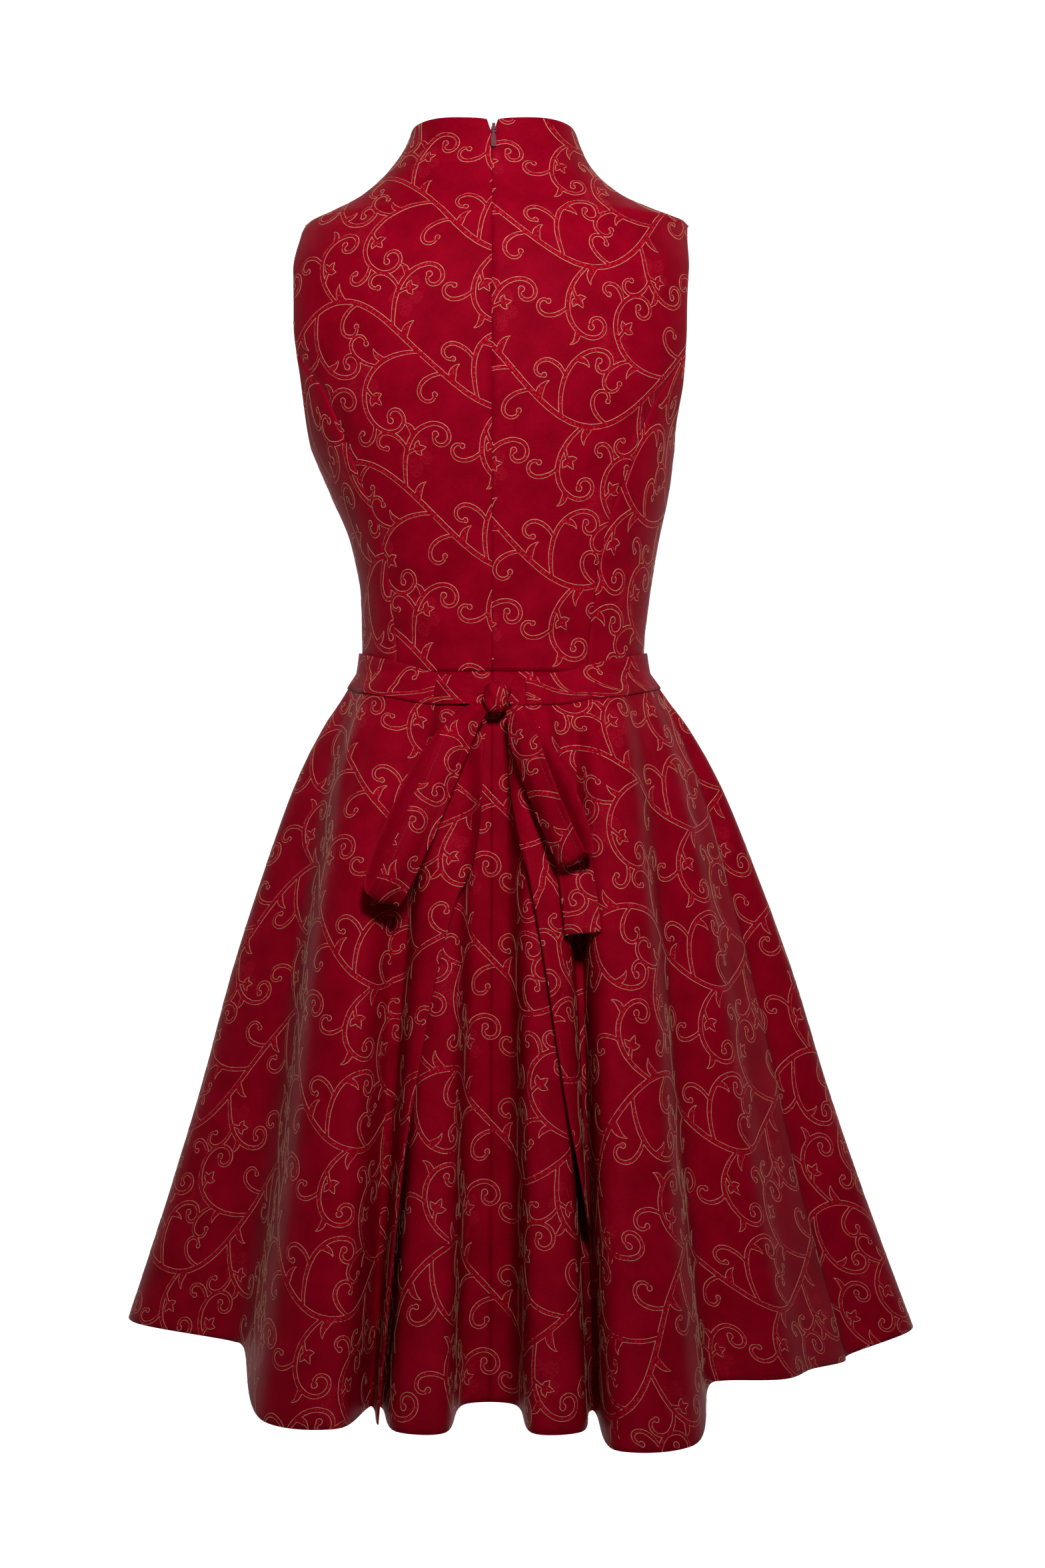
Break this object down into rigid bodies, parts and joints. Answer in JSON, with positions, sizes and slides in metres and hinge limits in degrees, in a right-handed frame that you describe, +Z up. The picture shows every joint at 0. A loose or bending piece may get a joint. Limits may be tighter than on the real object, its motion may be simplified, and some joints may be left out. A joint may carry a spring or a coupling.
{
  "type": "dirndl dress",
  "caption": "Sleeveless red jacquard dirndl with a funnel stand collar and flared fluted skirt, under a wrap apron of the same cloth tied in a bow at the back.",
  "frame": {"origin": "On the dress's vertical axis at the height of the shoulder tips, with the centre back seam in the X = 0 plane.", "axes": "+Z up, +Y the way the wearer faces, so the back of the dress looks towards -Y; +X the wearer's right."},
  "size_m": [0.6473, 0.6435, 1.0205],
  "materials": {
    "dress_fabric": "satin jacquard",
    "apron_fabric": "satin jacquard",
    "zip_tape": "matte woven tape",
    "zip_metal": "satin lacquer"
  },
  "bodies": {
    "dress": {"bodice_back_right": "dress_fabric", "bodice_side_back_right": "dress_fabric", "bodice_side_front_right": "dress_fabric", "bodice_front_right": "dress_fabric", "bodice_back_left": "dress_fabric", "bodice_side_back_left": "dress_fabric", "bodice_side_front_left": "dress_fabric", "bodice_front_left": "dress_fabric", "skirt_back_right": "dress_fabric", "skirt_front": "dress_fabric", "skirt_back_left": "dress_fabric", "apron_right": "apron_fabric", "apron_front": "apron_fabric", "apron_left": "apron_fabric", "apron_waistband": "apron_fabric", "apron_tie_left": "apron_fabric", "apron_tie_right": "apron_fabric", "bow_knot": "apron_fabric", "bow_loop_left": "apron_fabric", "bow_loop_right": "apron_fabric", "bow_tail_left": "apron_fabric", "bow_tail_right": "apron_fabric", "zip_tape": "zip_tape", "zip_slider": "zip_metal"},
    "zip_pull": {"zip_pull_tab": "zip_metal"}
  },
  "joints": [
    {"name": "zip_pull", "type": "hinge", "parent": "dress", "child": "zip_pull", "pos_m": [0.001, -0.06474, 0.065], "axis": [-1, 0, 0], "range_deg": [0, 150]}
  ]
}
